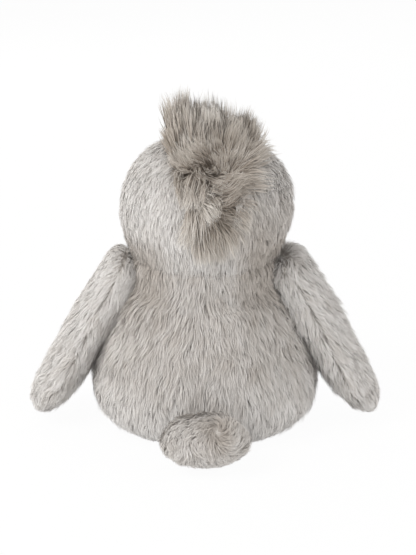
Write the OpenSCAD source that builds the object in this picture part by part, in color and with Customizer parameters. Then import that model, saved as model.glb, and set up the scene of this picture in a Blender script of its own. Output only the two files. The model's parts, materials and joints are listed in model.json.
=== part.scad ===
// Seated plush penguin: furry fabric panels over stuffing, a bag of pellets in the seat,
// safety eyes with washers, and a suedette beak and feet.
// Millimetres. The penguin faces -Y, +Z is up, and the origin is the middle of the seat.

/* [Body] */
// Greatest width of the body
body_w = 158; // [150:1:164]
// Depth of the body as a share of its width
body_depth = 0.9; // [0.86:0.01:0.94]
// Height of the body from the seat to the neck
body_h = 108; // [106:1:109]
// Height of the widest part of the body
belly_z = 30; // [26:1:36]
// Width of the flat seat
seat_w = 108; // [96:1:116]
// Width of the top of the body
shoulder_w = 97; // [95:1:99]
// Thickness of the fabric with its pile pressed flat
fabric_t = 3.5; // [2.5:0.5:4]

/* [Neck] */
// Radius of the stuffed ball that the head turns on
neck_r = 44; // [43:0.5:45]
// Height of the centre of that ball
neck_z = 98; // [96:1:99]

/* [Head] */
// Width of the head
head_w = 120; // [116:1:121]
// Depth of the head as a share of its width
head_depth = 0.95; // [0.9:0.01:1]
// Height of the head as a share of its width
head_height = 0.935; // [0.9:0.005:0.95]
// Height of the centre of the head
head_z = 160; // [158:1:162]
// Half the width of the crest where it is widest
crest_half_w = 34; // [28:1:36]
// Height that the crest stands above the crown
crest_rise = 18; // [8:1:20]

/* [Face] */
// Height of the centre of the pale face
face_z = 149; // [147:1:152]
// Half the width of the pale face
face_half_w = 43; // [38:1:46]
// Distance from the middle of the face to each eye
eye_x = 22; // [18:1:26]
// Height of the eyes
eye_z = 163; // [158:1:168]
// Diameter of each eye
eye_d = 11; // [8:0.5:13]
// Length of the beak
beak_len = 24; // [16:1:30]
// Width of the beak at the face
beak_w = 30; // [24:1:34]
// Height of the middle of the beak
beak_z = 146; // [143:1:149]

/* [Wings] */
// Length of a wing from its hinge to its tip
wing_len = 126; // [110:1:128]
// Breadth of a wing, front to back
wing_w = 56; // [48:1:60]
// Thickness of a wing as a share of its breadth
wing_flat = 0.45; // [0.4:0.01:0.48]
// Angle between a resting wing and the vertical
wing_splay = 27; // [25:0.5:30]
// Distance of each wing's hinge from the middle of the body
wing_hinge_x = 60.5; // [60:0.5:63]
// Height of each wing's hinge
wing_hinge_z = 119; // [116:1:120]

/* [Feet] */
// Length of a foot from its hinge to its toes
foot_len = 53; // [40:1:60]
// Width of a foot
foot_w = 42; // [34:1:46]
// Thickness of a foot as a share of its width
foot_flat = 0.38; // [0.32:0.01:0.4]
// Angle by which each foot turns out
foot_splay = 18; // [10:1:20]
// Distance of each foot's hinge from the middle of the body
foot_hinge_x = 33; // [31:1:35]
// Distance of the foot hinges in front of the origin
foot_hinge_y = 65; // [65:0.5:70]

/* [Tail] */
// Width of the tail
tail_w = 66; // [50:1:72]
// Length of the tail from its hinge to its tip
tail_len = 41.5; // [36:0.5:44]
// Height of the tail
tail_h = 38; // [30:1:39]
// Distance of the tail's hinge behind the origin
tail_hinge_y = 78.5; // [78.5:0.5:80]

/* [Hidden] */

$fn = 96;
big = 400;
fit_gap = 0.3;                       // between pieces that move past each other
lay_gap = 0.2;                       // between a cover and what fills it
body_r = body_w / 2;
seat_r = seat_w / 2;
shoulder_r = shoulder_w / 2;
side_seam = 15;                      // angle of the side seams in front of the sides
head_r = head_w / 2;
crest_depth_r = head_r * head_depth + 5;
crest_top_r = head_r * head_height + crest_rise;
crest_side_r = crest_half_w + 10;
bag_r = seat_r - 5;
bag_half_h = 12;
bag_t = 1;
bag_z = fabric_t + lay_gap + bag_half_h;
thread_r = 0.9;
shank_r = 1.8;
shank_len = 15;
washer_r = 6.5;
washer_t = 1.6;
washer_depth = 8;
wing_wall = 2.5;
foot_wall = 1.6;
beak_wall = 1.6;
tail_wall = 3;
foot_z = foot_w * foot_flat / 2 + 0.5;
tail_z = tail_h / 2 + 1.2;

fur_grey = [0.70, 0.685, 0.665];
fur_grey_dark = [0.64, 0.62, 0.60];
fur_cream = [0.93, 0.91, 0.87];
fur_taupe = [0.52, 0.48, 0.45];
suedette_tan = [0.80, 0.62, 0.42];
fibre_white = [0.95, 0.95, 0.93];
cotton_beige = [0.85, 0.80, 0.70];

// ---- curves ----

function bezier(p0, p1, p2, p3, t) =
    pow(1 - t, 3) * p0 + 3 * pow(1 - t, 2) * t * p1 + 3 * (1 - t) * t * t * p2 + t * t * t * p3;

// Side of the body from the edge of the seat to the neck, moved in by w.
function body_side(w) = concat(
    [for (a = [0 : 10 : 80])
        [seat_r + (body_r - w - seat_r) * sin(a), belly_z - (belly_z - w) * cos(a)]],
    [for (i = [0 : 12])
        bezier([body_r - w, belly_z], [body_r - w, belly_z + 28],
               [shoulder_r - w + 10, body_h - 24], [shoulder_r - w, body_h], i / 12)]
);

// Half outline of a paddle from a round end behind its hinge to a round tip.
function paddle_side(root_back, root_r, mid_r, tip, len) = concat(
    [for (a = [90 : -10 : 10]) [root_r * cos(a), -root_back * sin(a)]],
    [for (i = [0 : 10])
        bezier([root_r, 0], [root_r, len * 0.2], [mid_r, len * 0.4], [mid_r, len - tip], i / 10)],
    [for (a = [10 : 10 : 90]) [mid_r * cos(a), len - tip + tip * sin(a)]]
);

// A full turn of an outline, made as four quarters.
module turned(outline) {
    for (quarter = [0 : 90 : 270]) rotate([0, 0, quarter]) rotate_extrude(angle = 90) polygon(outline);
}

// ---- body ----

module body_wall(from, to) {
    scale([1, body_depth, 1]) rotate([0, 0, from]) rotate_extrude(angle = to - from)
        polygon(concat(body_side(0), [for (i = [len(body_side(0)) - 1 : -1 : 0])
            body_side(fabric_t)[i]]));
}

module bag_shape(inset) {
    scale([1, body_depth, 1]) translate([0, 0, bag_z]) turned([for (a = [-90 : 10 : 90])
        [(bag_r - inset) * pow(cos(a), 0.6), (bag_half_h - inset) * sin(a)]]);
}

module back_panel_left() { color(fur_grey) body_wall(-side_seam, 90); }
module back_panel_right() { color(fur_grey) body_wall(90, 180 + side_seam); }
module belly_panel() { color(fur_cream) body_wall(180 + side_seam, 360 - side_seam); }

module base_panel() {
    color(fur_grey_dark) linear_extrude(fabric_t)
        polygon([for (a = [0 : 360 / $fn : 359]) seat_r * [cos(a), body_depth * sin(a)]]);
}

module body_stuffing() {
    side = body_side(fabric_t + lay_gap);
    color(fibre_white) difference() {
        intersection() {
            scale([1, body_depth, 1]) turned(concat([[0, -belly_z]], side, [[0, body_h + belly_z]]));
            translate([-big / 2, -big / 2, fabric_t + lay_gap])
                cube([big, big, body_h - fabric_t - lay_gap]);
        }
        bag_shape(-lay_gap);
    }
}

module bag_half(up) {
    color(cotton_beige) difference() {
        intersection() {
            bag_shape(0);
            translate([-big / 2, -big / 2, up ? bag_z : bag_z - big]) cube([big, big, big]);
        }
        bag_shape(bag_t);
    }
}

module pellet_bag_top() { bag_half(true); }
module pellet_bag_bottom() { bag_half(false); }

module pellet_fill() { color("gainsboro") bag_shape(bag_t + lay_gap); }

// ---- neck ----

module neck_ball(extra) { translate([0, 0, neck_z]) sphere(r = neck_r + extra); }

module neck_stuffing() {
    color(fibre_white) intersection() {
        neck_ball(0);
        translate([-big / 2, -big / 2, body_h + fit_gap]) cube([big, big, big]);
    }
}

// Gathering thread drawn tight round the neck, just above the body.
module neck_thread() {
    thread_z = body_h + fit_gap + thread_r + 0.2;
    ring_r = sqrt(neck_r * neck_r - pow(thread_z - neck_z, 2)) + thread_r + lay_gap + 0.1;
    color(fur_grey_dark) translate([0, 0, thread_z]) rotate_extrude()
        translate([ring_r, 0]) circle(r = thread_r, $fn = 24);
}

// ---- head ----

module head_egg(inset) {
    translate([0, 0, head_z])
        scale([head_r - inset, head_r * head_depth - inset, head_r * head_height - inset])
            sphere(r = 1);
}

module head_wall() {
    difference() {
        head_egg(0);
        head_egg(fabric_t);
        neck_ball(fit_gap + 0.2);
    }
}

// Tapered strip over the crown, from the face to a point at the nape.
module crest_strip() {
    edge = [[crest_half_w * 0.2, neck_z + 28], [crest_half_w * 0.47, head_z + 3],
            [crest_half_w * 0.86, head_z + 36], [crest_half_w, head_z + 58], [crest_half_w, big]];
    rotate([90, 0, 0]) linear_extrude(big, center = true)
        polygon(concat(edge, [for (i = [len(edge) - 1 : -1 : 0]) [-edge[i][0], edge[i][1]]]));
}

module face_cut() {
    translate([0, 0, face_z]) rotate([90, 0, 0]) cylinder(r = face_half_w, h = big / 2);
}

module head_side() {
    color(fur_grey) difference() {
        intersection() {
            head_wall();
            translate([0, -big / 2, 0]) cube([big / 2, big, big]);
        }
        crest_strip();
        face_cut();
    }
}

module head_side_left() { head_side(); }
module head_side_right() { mirror([1, 0, 0]) head_side(); }

module crest_gusset() {
    color(fur_taupe) difference() {
        intersection() {
            crest_strip();
            translate([0, 0, head_z]) scale([crest_side_r, crest_depth_r, crest_top_r]) sphere(r = 1);
        }
        head_egg(fabric_t);
        neck_ball(fit_gap + 0.2);
        face_cut();
    }
}

// Turns a piece from the middle of the head to one eye and out along the eye's shank.
module at_eye() {
    eye_y = -head_r * head_depth
        * sqrt(1 - pow(eye_x / head_r, 2) - pow((eye_z - head_z) / (head_r * head_height), 2));
    turn = atan2(eye_x * pow(head_depth, 2), -eye_y);
    translate([eye_x, eye_y, eye_z]) rotate([90, 0, turn]) children();
}

module eye() {
    color([0.03, 0.03, 0.035]) at_eye() {
        translate([0, 0, 0.1]) intersection() {
            translate([0, 0, -eye_d * 0.1]) sphere(r = eye_d * 0.51);
            translate([-eye_d, -eye_d, 0]) cube([2 * eye_d, 2 * eye_d, eye_d]);
        }
        translate([0, 0, -shank_len]) cylinder(r = shank_r, h = shank_len + 0.5);
    }
}

module eye_washer() {
    color("whitesmoke") at_eye() translate([0, 0, -washer_depth]) difference() {
        cylinder(r = washer_r, h = washer_t);
        translate([0, 0, -1]) cylinder(r = shank_r + 0.05, h = washer_t + 2);
    }
}

// Room in the panel and the stuffing for the shank and its washer.
module eye_room() {
    at_eye() {
        translate([0, 0, -shank_len - 0.4]) cylinder(r = shank_r + 0.2, h = big / 10);
        translate([0, 0, -washer_depth - lay_gap]) cylinder(r = washer_r + lay_gap,
                                                           h = washer_t + 2 * lay_gap);
    }
}

module eye_left() { eye(); }
module eye_right() { mirror([1, 0, 0]) eye(); }
module eye_washer_left() { eye_washer(); }
module eye_washer_right() { mirror([1, 0, 0]) eye_washer(); }

module face_panel() {
    color(fur_cream) difference() {
        intersection() {
            head_wall();
            face_cut();
        }
        eye_room();
        mirror([1, 0, 0]) eye_room();
    }
}

module head_stuffing() {
    color(fibre_white) difference() {
        head_egg(fabric_t + lay_gap);
        neck_ball(fit_gap + 0.2);
        eye_room();
        mirror([1, 0, 0]) eye_room();
    }
}

// ---- beak ----

// Pointed dome that comes out of the face, flattened from above.
module beak_shape(inset) {
    base_y = head_r * head_depth - 4;
    difference() {
        translate([0, -base_y, beak_z]) scale([1, 1, 0.72]) rotate([90, 0, 0])
            turned(concat([[0, 0]], [for (i = [0 : 10])
                bezier([beak_w / 2 - inset, 0], [beak_w / 2 - inset, beak_len * 0.45],
                       [beak_w * 0.22 - inset / 2, beak_len * 0.9 - inset],
                       [0, beak_len - inset], i / 10)]));
        head_egg(-lay_gap);
    }
}

module beak_half(up) {
    color(suedette_tan) difference() {
        intersection() {
            beak_shape(0);
            translate([-big / 2, -big / 2, up ? beak_z : beak_z - big]) cube([big, big, big]);
        }
        beak_shape(beak_wall);
    }
}

module beak_upper() { beak_half(true); }
module beak_lower() { beak_half(false); }
module beak_stuffing() { color(fibre_white) beak_shape(beak_wall + lay_gap); }

// ---- wings ----

// One paddle, flat across X and long in Z, with its hinge along Y through the origin.
module wing_shape(inset) {
    half_w = wing_w / 2;
    half_t = half_w * wing_flat;
    root_r = half_w * 0.88;
    scale([(half_t - inset) / (half_w - inset), 1, 1])
        turned(paddle_side(root_r * wing_flat - inset, root_r - inset, half_w - inset,
                           wing_w * 0.5 - inset, wing_len - inset));
}

module at_left_wing() {
    translate([wing_hinge_x, 0, wing_hinge_z]) rotate([0, 180 - wing_splay, 0]) children();
}

module wing_cover(outer) {
    color(outer ? fur_grey : fur_grey_dark) at_left_wing() difference() {
        intersection() {
            wing_shape(0);
            translate([outer ? -big : 0, -big / 2, -big / 2]) cube([big, big, big]);
        }
        wing_shape(wing_wall);
    }
}

module wing_filling() { color(fibre_white) at_left_wing() wing_shape(wing_wall + lay_gap); }

module wing_left_outer() { wing_cover(true); }
module wing_left_inner() { wing_cover(false); }
module wing_left_stuffing() { wing_filling(); }
module wing_right_outer() { mirror([1, 0, 0]) wing_cover(true); }
module wing_right_inner() { mirror([1, 0, 0]) wing_cover(false); }
module wing_right_stuffing() { mirror([1, 0, 0]) wing_filling(); }

// ---- feet ----

// One paddle, flat across Z and pointing along -Y, with its hinge along X through the origin.
module foot_shape(inset) {
    half_w = foot_w / 2;
    root_r = half_w * 0.62;
    scale([1, 1, (half_w * foot_flat - inset) / (half_w - inset)]) rotate([90, 0, 0])
        turned(paddle_side(root_r * foot_flat - inset, root_r - inset, half_w - inset,
                           foot_w * 0.42 - inset, foot_len - inset));
}

module at_left_foot() {
    translate([foot_hinge_x, -foot_hinge_y, foot_z]) rotate([0, 0, foot_splay]) children();
}

module foot_cover(up) {
    color(suedette_tan) at_left_foot() difference() {
        intersection() {
            foot_shape(0);
            translate([-big / 2, -big / 2, up ? 0 : -big]) cube([big, big, big]);
        }
        foot_shape(foot_wall);
    }
}

module foot_filling() { color(fibre_white) at_left_foot() foot_shape(foot_wall + lay_gap); }

module foot_left_top() { foot_cover(true); }
module foot_left_sole() { foot_cover(false); }
module foot_left_stuffing() { foot_filling(); }
module foot_right_top() { mirror([1, 0, 0]) foot_cover(true); }
module foot_right_sole() { mirror([1, 0, 0]) foot_cover(false); }
module foot_right_stuffing() { mirror([1, 0, 0]) foot_filling(); }

// ---- tail ----

// Flattened ball on a short root that is sewn to the body, with its hinge along X in the root.
module tail_shape(inset) {
    half_w = tail_w / 2;
    root_r = half_w * 0.42;
    translate([0, tail_hinge_y, tail_z])
        scale([1, 1, (tail_h / 2 - inset) / (half_w - inset)]) rotate([-90, 0, 0])
            turned(paddle_side(root_r * tail_h / tail_w - inset, root_r - inset, half_w - inset,
                               tail_len * 0.53 - inset, tail_len - inset));
}

module tail_cover(up) {
    color(up ? fur_grey : fur_grey_dark) difference() {
        intersection() {
            tail_shape(0);
            translate([-big / 2, -big / 2, up ? tail_z : tail_z - big]) cube([big, big, big]);
        }
        tail_shape(tail_wall);
    }
}

module tail_top() { tail_cover(true); }
module tail_under() { tail_cover(false); }
module tail_stuffing() { color(fibre_white) tail_shape(tail_wall + lay_gap); }

back_panel_left();
back_panel_right();
belly_panel();
base_panel();
body_stuffing();
pellet_bag_top();
pellet_bag_bottom();
pellet_fill();
neck_stuffing();
neck_thread();
head_side_left();
head_side_right();
crest_gusset();
face_panel();
head_stuffing();
eye_left();
eye_right();
eye_washer_left();
eye_washer_right();
beak_upper();
beak_lower();
beak_stuffing();
wing_left_outer();
wing_left_inner();
wing_left_stuffing();
wing_right_outer();
wing_right_inner();
wing_right_stuffing();
foot_left_top();
foot_left_sole();
foot_left_stuffing();
foot_right_top();
foot_right_sole();
foot_right_stuffing();
tail_top();
tail_under();
tail_stuffing();
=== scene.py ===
# %% [markdown]
# # A seated plush penguin
# The real toy is sewn from fur fabric, filled with loose fibre, and sits on a bag of pellets.
# What the eye sees is almost only hair: thousands of combed locks, paler at their tips than at
# their roots. So this lesson first makes the stuffed forms under the fabric, with the help of
# cloth simulation, and then grows real locks of hair on them, panel by panel.

# %% Load the frame
import json
import math

import bmesh
import bpy
import numpy as np
from mathutils import Matrix, Vector, kdtree


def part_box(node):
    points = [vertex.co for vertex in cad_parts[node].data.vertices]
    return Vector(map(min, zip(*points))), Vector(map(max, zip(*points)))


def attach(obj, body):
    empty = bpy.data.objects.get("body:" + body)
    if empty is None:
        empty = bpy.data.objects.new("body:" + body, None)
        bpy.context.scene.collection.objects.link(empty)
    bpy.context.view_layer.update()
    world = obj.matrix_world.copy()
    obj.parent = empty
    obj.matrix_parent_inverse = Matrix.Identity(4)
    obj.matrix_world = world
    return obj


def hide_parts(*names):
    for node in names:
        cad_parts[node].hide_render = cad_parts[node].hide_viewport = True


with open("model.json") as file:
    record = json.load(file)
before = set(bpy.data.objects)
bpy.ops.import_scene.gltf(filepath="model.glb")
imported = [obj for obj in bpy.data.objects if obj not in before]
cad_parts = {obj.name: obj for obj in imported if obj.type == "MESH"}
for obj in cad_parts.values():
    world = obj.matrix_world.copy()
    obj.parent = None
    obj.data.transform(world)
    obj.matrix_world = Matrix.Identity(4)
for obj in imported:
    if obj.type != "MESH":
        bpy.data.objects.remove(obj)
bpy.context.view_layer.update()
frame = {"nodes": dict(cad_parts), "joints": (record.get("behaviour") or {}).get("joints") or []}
MM = 0.001

# %% [markdown]
# ## Camera, floor and light
# The penguin turns its back to the camera, which stands higher than its head and far away, so
# that a long lens flattens the view. Three soft lamps light it: a strong one to the left of the
# camera, a weak one to the right, and one before the face. The floor and the world show white to
# the camera and in mirrors only, so they put no extra light on the fur.

# %% Camera
CAMERA_RISE = math.radians(18)
CAMERA_DISTANCE = 1.25
VIEW_HEIGHT = 0.400
aim = Vector((-0.002, 0, 0.108))
lens_data = bpy.data.cameras.new("camera")
lens_data.sensor_fit = "VERTICAL"
lens_data.sensor_height = 36
lens_data.lens = lens_data.sensor_height * CAMERA_DISTANCE / VIEW_HEIGHT
camera = bpy.data.objects.new("camera", lens_data)
bpy.context.collection.objects.link(camera)
towards_camera = Vector((0, math.cos(CAMERA_RISE), math.sin(CAMERA_RISE)))
camera.location = aim + towards_camera * CAMERA_DISTANCE
camera.rotation_euler = towards_camera.to_track_quat("Z", "Y").to_euler()
bpy.context.scene.camera = camera
bpy.context.scene.view_settings.view_transform = "Standard"
print("camera lens, mm:", round(lens_data.lens))


# %% Lamps
def soft_lamp(name, place, width, watts, colour):
    """A square area lamp that points at the middle of the penguin."""
    data = bpy.data.lights.new(name, "AREA")
    data.size = width
    data.energy = watts
    data.color = colour
    lamp = bpy.data.objects.new(name, data)
    lamp.location = place
    lamp.rotation_euler = (Vector(place) - aim).to_track_quat("Z", "Y").to_euler()
    bpy.context.collection.objects.link(lamp)


soft_lamp("key_lamp", (1.0, 0.8, 1.1), width=0.9, watts=17, colour=(1, 0.99, 0.975))
soft_lamp("fill_lamp", (-1.2, 0.7, 0.6), width=1.2, watts=6.5, colour=(1, 0.985, 0.97))
soft_lamp("front_lamp", (0.3, -1.3, 0.9), width=1.2, watts=8, colour=(1, 0.99, 0.97))


# %% Helpers for nodes
def feed(tree, socket, value):
    """Links a node's output to a socket, or writes a plain value into it."""
    if isinstance(value, bpy.types.NodeSocket):
        tree.links.new(value, socket)
    else:
        socket.default_value = value


def math_node(tree, operation, *values):
    """The result of a Math node that is fed with the given values."""
    node = tree.nodes.new("ShaderNodeMath")
    node.operation = operation
    for socket, value in zip(node.inputs, values):
        feed(tree, socket, value)
    return node.outputs[0]


def colour_mix(tree, blend, factor, first, second):
    """The result of a Mix node for two colours."""
    mix = tree.nodes.new("ShaderNodeMix")
    mix.data_type = "RGBA"
    mix.blend_type = blend
    feed(tree, mix.inputs["Factor"], factor)
    feed(tree, mix.inputs["A"], first)
    feed(tree, mix.inputs["B"], second)
    return mix.outputs["Result"]


# %% World and floor
FLOOR_SIZE = 12
FLOOR_HEIGHT = -0.5 * MM


def white_to_the_eye(tree, shader, white, share):
    """Mixes a lit shader with a white one, by a share, where the camera or a mirror looks."""
    rays = tree.nodes.new("ShaderNodeLightPath").outputs
    seen = rays["Is Camera Ray"]
    for ray in ("Is Glossy Ray", "Is Transmission Ray"):
        seen = math_node(tree, "MAXIMUM", seen, rays[ray])
    mix = tree.nodes.new("ShaderNodeMixShader")
    feed(tree, mix.inputs["Fac"], math_node(tree, "MULTIPLY", seen, share))
    feed(tree, mix.inputs[1], shader.outputs[0])
    feed(tree, mix.inputs[2], white.outputs[0])
    output = next(n for n in tree.nodes if n.type.startswith("OUTPUT"))
    feed(tree, output.inputs["Surface"], mix.outputs[0])


world = bpy.data.worlds.new("studio")
bpy.context.scene.world = world
world.use_nodes = True
sky = world.node_tree.nodes["Background"]
sky.inputs["Color"].default_value = (1, 0.995, 0.985, 1)
sky.inputs["Strength"].default_value = 0.55
white_sky = world.node_tree.nodes.new("ShaderNodeBackground")
white_sky.inputs["Color"].default_value = (1, 1, 1, 1)
white_to_the_eye(world.node_tree, sky, white_sky, 1)

floor_paint = bpy.data.materials.new("pale_floor")
floor_paint.use_nodes = True
floor_shader = floor_paint.node_tree.nodes["Principled BSDF"]
floor_shader.inputs["Base Color"].default_value = (0.9, 0.9, 0.9, 1)
floor_shader.inputs["Roughness"].default_value = 0.9
white_floor = floor_paint.node_tree.nodes.new("ShaderNodeEmission")
white_floor.inputs["Color"].default_value = (1, 1, 1, 1)
white_to_the_eye(floor_paint.node_tree, floor_shader, white_floor, 0.96)
bpy.ops.mesh.primitive_plane_add(size=FLOOR_SIZE, location=(0, 0, FLOOR_HEIGHT))
floor = bpy.context.object
floor.name = "floor"
floor.data.materials.append(floor_paint)
print("a white floor of", FLOOR_SIZE, "m")

# %% [markdown]
# ## Fur finishes
# Every lock of hair carries a UV map: U picks how light the lock is, and V runs from its root to
# its tip. One material then colours a whole panel: V goes through a ramp from dark root to pale
# tip, and U scales it, so neighbouring locks differ.


# %% Fur material
def new_finish(name, roughness, specular, sheen):
    """An empty finish: its material, its node tree and its shader."""
    mat = bpy.data.materials.new(name)
    mat.use_nodes = True
    shader = mat.node_tree.nodes["Principled BSDF"]
    for socket, value in (("Roughness", roughness), ("Specular IOR Level", specular),
                          ("Sheen Weight", sheen), ("Sheen Roughness", 0.5)):
        shader.inputs[socket].default_value = value
    return mat, mat.node_tree, shader


def colour_ramp(tree, place, stops):
    """The colour at a place from 0 to 1 on a ramp of (place, colour) stops."""
    ramp = tree.nodes.new("ShaderNodeValToRGB")
    elements = ramp.color_ramp.elements
    elements.remove(elements[1])
    for i, (at, colour) in enumerate(stops):
        stop = elements[0] if i == 0 else elements.new(at)
        stop.position = at
        stop.color = (*colour, 1)
    feed(tree, ramp.inputs["Fac"], place)
    return ramp.outputs["Color"]


def pile_finish(name, root_to_tip, dark, sheen=0.2):
    """A fur finish: root_to_tip are ramp stops, and the darkest locks are multiplied by dark."""
    mat, tree, shader = new_finish(name, roughness=0.85, specular=0.25, sheen=sheen)
    uv = tree.nodes.new("ShaderNodeUVMap")
    uv.uv_map = "OFBake"
    split = tree.nodes.new("ShaderNodeSeparateXYZ")
    feed(tree, split.inputs[0], uv.outputs[0])
    along = colour_ramp(tree, split.outputs["Y"], root_to_tip)
    # U carries each lock's tone, which on some panels holds painted shade and painted light
    tint = colour_ramp(tree, split.outputs["X"], [(0, dark), (1, (1, 1, 1))])
    feed(tree, shader.inputs["Base Color"], colour_mix(tree, "MULTIPLY", 1, along, tint))
    print(name, "from root", root_to_tip[0][1], "to tip", root_to_tip[-1][1])
    return mat


grey_pile = pile_finish(
    "grey_pile",
    [(0, (0.64, 0.605, 0.575)), (0.3, (0.75, 0.725, 0.70)), (0.7, (0.82, 0.80, 0.78)),
     (1, (0.88, 0.865, 0.85))],
    dark=(0.66, 0.62, 0.58))
cream_pile = pile_finish(
    "cream_pile",
    [(0, (0.76, 0.72, 0.65)), (0.4, (0.87, 0.84, 0.785)), (1, (0.93, 0.91, 0.87))],
    dark=(0.86, 0.84, 0.80))
crest_pile = pile_finish(
    "crest_pile",
    [(0, (0.27, 0.23, 0.19)), (0.4, (0.44, 0.39, 0.34)), (0.75, (0.60, 0.555, 0.505)),
     (1, (0.79, 0.765, 0.725))],
    dark=(0.52, 0.47, 0.42), sheen=0.15)

# %% [markdown]
# ## Finishes for the smooth pieces
# Suedette, loose fibre, cotton, plastic and thread share one effect: broad mottling with fine
# grain over it. It is one node group with named inputs, placed in each material with its own
# scales. The group gives a colour, a height for the bump and a roughness.


# %% Grain, shared by the smooth finishes
def noise_at(tree, place, scale, detail):
    """A noise texture at a place, with its scale linked."""
    noise = tree.nodes.new("ShaderNodeTexNoise")
    noise.inputs["Detail"].default_value = detail
    feed(tree, noise.inputs["Vector"], place)
    feed(tree, noise.inputs["Scale"], scale)
    return noise.outputs["Fac"]


def grain_group():
    """Broad mottling and fine grain, from Object coordinates."""
    group = bpy.data.node_groups.new("soft_grain", "ShaderNodeTree")
    for name, kind, way in (("Place", "Vector", "INPUT"), ("Light", "Color", "INPUT"),
                            ("Dark", "Color", "INPUT"), ("Broad Scale", "Float", "INPUT"),
                            ("Fine Scale", "Float", "INPUT"), ("Roughness", "Float", "INPUT"),
                            ("Colour", "Color", "OUTPUT"), ("Height", "Float", "OUTPUT"),
                            ("Worn Roughness", "Float", "OUTPUT")):
        group.interface.new_socket(name=name, in_out=way, socket_type="NodeSocket" + kind)
    given = group.nodes.new("NodeGroupInput").outputs
    gives = group.nodes.new("NodeGroupOutput").inputs
    broad = noise_at(group, given["Place"], given["Broad Scale"], 3)
    fine = noise_at(group, given["Place"], given["Fine Scale"], 6)
    spread = group.nodes.new("ShaderNodeMapRange")
    spread.inputs["From Min"].default_value = 0.5
    spread.inputs["From Max"].default_value = 0.95
    feed(group, spread.inputs["Value"], math_node(group, "MULTIPLY_ADD", fine, 0.45, broad))
    feed(group, gives["Colour"],
         colour_mix(group, "MIX", spread.outputs[0], given["Dark"], given["Light"]))
    feed(group, gives["Height"], fine)
    feed(group, gives["Worn Roughness"],
         math_node(group, "MULTIPLY_ADD", broad, 0.12, given["Roughness"]))
    return group


soft_grain = grain_group()


# %% Smooth finishes
WAVES_AT_SCALE_1 = 3.18


def bump(tree, height, strength, distance):
    """A Bump node that raises the surface by a height map, at most by a distance in mm."""
    relief = tree.nodes.new("ShaderNodeBump")
    relief.inputs["Strength"].default_value = strength
    relief.inputs["Distance"].default_value = distance * MM
    feed(tree, relief.inputs["Height"], height)
    return relief


def grain_finish(name, light, dark, broad, fine, roughness, depth, specular=0.3, sheen=0):
    """A finish from the shared grain, with broad and fine patches per metre and a depth in mm."""
    mat, tree, shader = new_finish(name, roughness, specular, sheen)
    grain = tree.nodes.new("ShaderNodeGroup")
    grain.node_tree = soft_grain
    place = tree.nodes.new("ShaderNodeTexCoord").outputs["Object"]
    for socket, value in (("Place", place), ("Light", (*light, 1)), ("Dark", (*dark, 1)),
                          ("Broad Scale", broad), ("Fine Scale", fine),
                          ("Roughness", roughness - 0.06)):
        feed(tree, grain.inputs[socket], value)
    relief = bump(tree, grain.outputs["Height"], 0.6, depth)
    feed(tree, shader.inputs["Base Color"], grain.outputs["Colour"])
    feed(tree, shader.inputs["Roughness"], grain.outputs["Worn Roughness"])
    feed(tree, shader.inputs["Normal"], relief.outputs["Normal"])
    print(name, "with", fine, "grains per metre")
    return mat


def ribbed(mat, bands, waves_per_metre, depth):
    """Adds raised threads to a finish: bands across each given axis, on top of its grain."""
    tree = mat.node_tree
    relief = next(n for n in tree.nodes if n.type == "BUMP")
    place = next(n for n in tree.nodes if n.type == "TEX_COORD").outputs["Object"]
    height = None
    for band in bands:
        wave = tree.nodes.new("ShaderNodeTexWave")
        wave.bands_direction = band
        wave.inputs["Scale"].default_value = waves_per_metre / WAVES_AT_SCALE_1
        wave.inputs["Distortion"].default_value = 0.6
        wave.inputs["Detail"].default_value = 1
        feed(tree, wave.inputs["Vector"], place)
        raised = wave.outputs["Fac"]
        height = raised if height is None else math_node(tree, "MAXIMUM", height, raised)
    threads = bump(tree, height, 0.7, depth)
    feed(tree, threads.inputs["Normal"], relief.outputs["Normal"])
    feed(tree, tree.nodes["Principled BSDF"].inputs["Normal"], threads.outputs["Normal"])
    return mat


suedette = grain_finish("tan_suedette", (0.50, 0.36, 0.22), (0.36, 0.245, 0.14),
                        90, 1400, roughness=0.88, depth=0.5, specular=0.2, sheen=0.5)
fibre = grain_finish("fibre_filling", (0.88, 0.87, 0.85), (0.70, 0.69, 0.66),
                     60, 500, roughness=0.9, depth=1.5, specular=0.2, sheen=0.3)
plain_cotton = grain_finish("bag_cotton", (0.80, 0.77, 0.70), (0.66, 0.62, 0.54),
                            50, 900, roughness=0.9, depth=0.2)
cotton = ribbed(plain_cotton, ("X", "Y"), waves_per_metre=1100, depth=0.25)
plain_thread = grain_finish("sewing_thread", (0.52, 0.49, 0.46), (0.38, 0.36, 0.33),
                            200, 2500, roughness=0.7, depth=0.1)
thread = ribbed(plain_thread, ("DIAGONAL",), waves_per_metre=900, depth=0.3)
eye_black = grain_finish("eye_black", (0.010, 0.009, 0.009), (0.005, 0.005, 0.005),
                         40, 700, roughness=0.1, depth=0.01)
washer_plastic = grain_finish("washer_plastic", (0.72, 0.72, 0.70), (0.60, 0.60, 0.58),
                              80, 900, roughness=0.45, depth=0.1)
pellet_plastic = grain_finish("plastic_pellets", (0.80, 0.82, 0.82), (0.62, 0.65, 0.66),
                              120, 900, roughness=0.35, depth=0.1)

# %% [markdown]
# ## Stuffed forms
# A stuffed panel swells between its seams and stays tight along them. The form starts as an egg
# or a pear from the sizes of the frame, a little smaller than the finished skin. Blender's Cloth
# blows it up with pressure while the seam points stay pinned, and each point may move only so
# far. The result is the fabric's backing, from which the hair grows.


# %% Reading and writing meshes
def mesh_values(mesh, kind):
    """One vector of each vertex, as rows of an array."""
    values = np.empty(len(mesh.vertices) * 3, np.float32)
    mesh.vertices.foreach_get(kind, values)
    return values.reshape(-1, 3).astype(np.float64)


def mesh_points(mesh):
    """The place of each vertex."""
    return mesh_values(mesh, "co")


def mesh_normals(mesh):
    """The way out of the surface at each vertex."""
    return mesh_values(mesh, "normal")


def set_points(mesh, points):
    """Writes the place of each vertex back into the mesh."""
    mesh.vertices.foreach_set("co", points.astype(np.float32).ravel())
    mesh.update()


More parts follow.
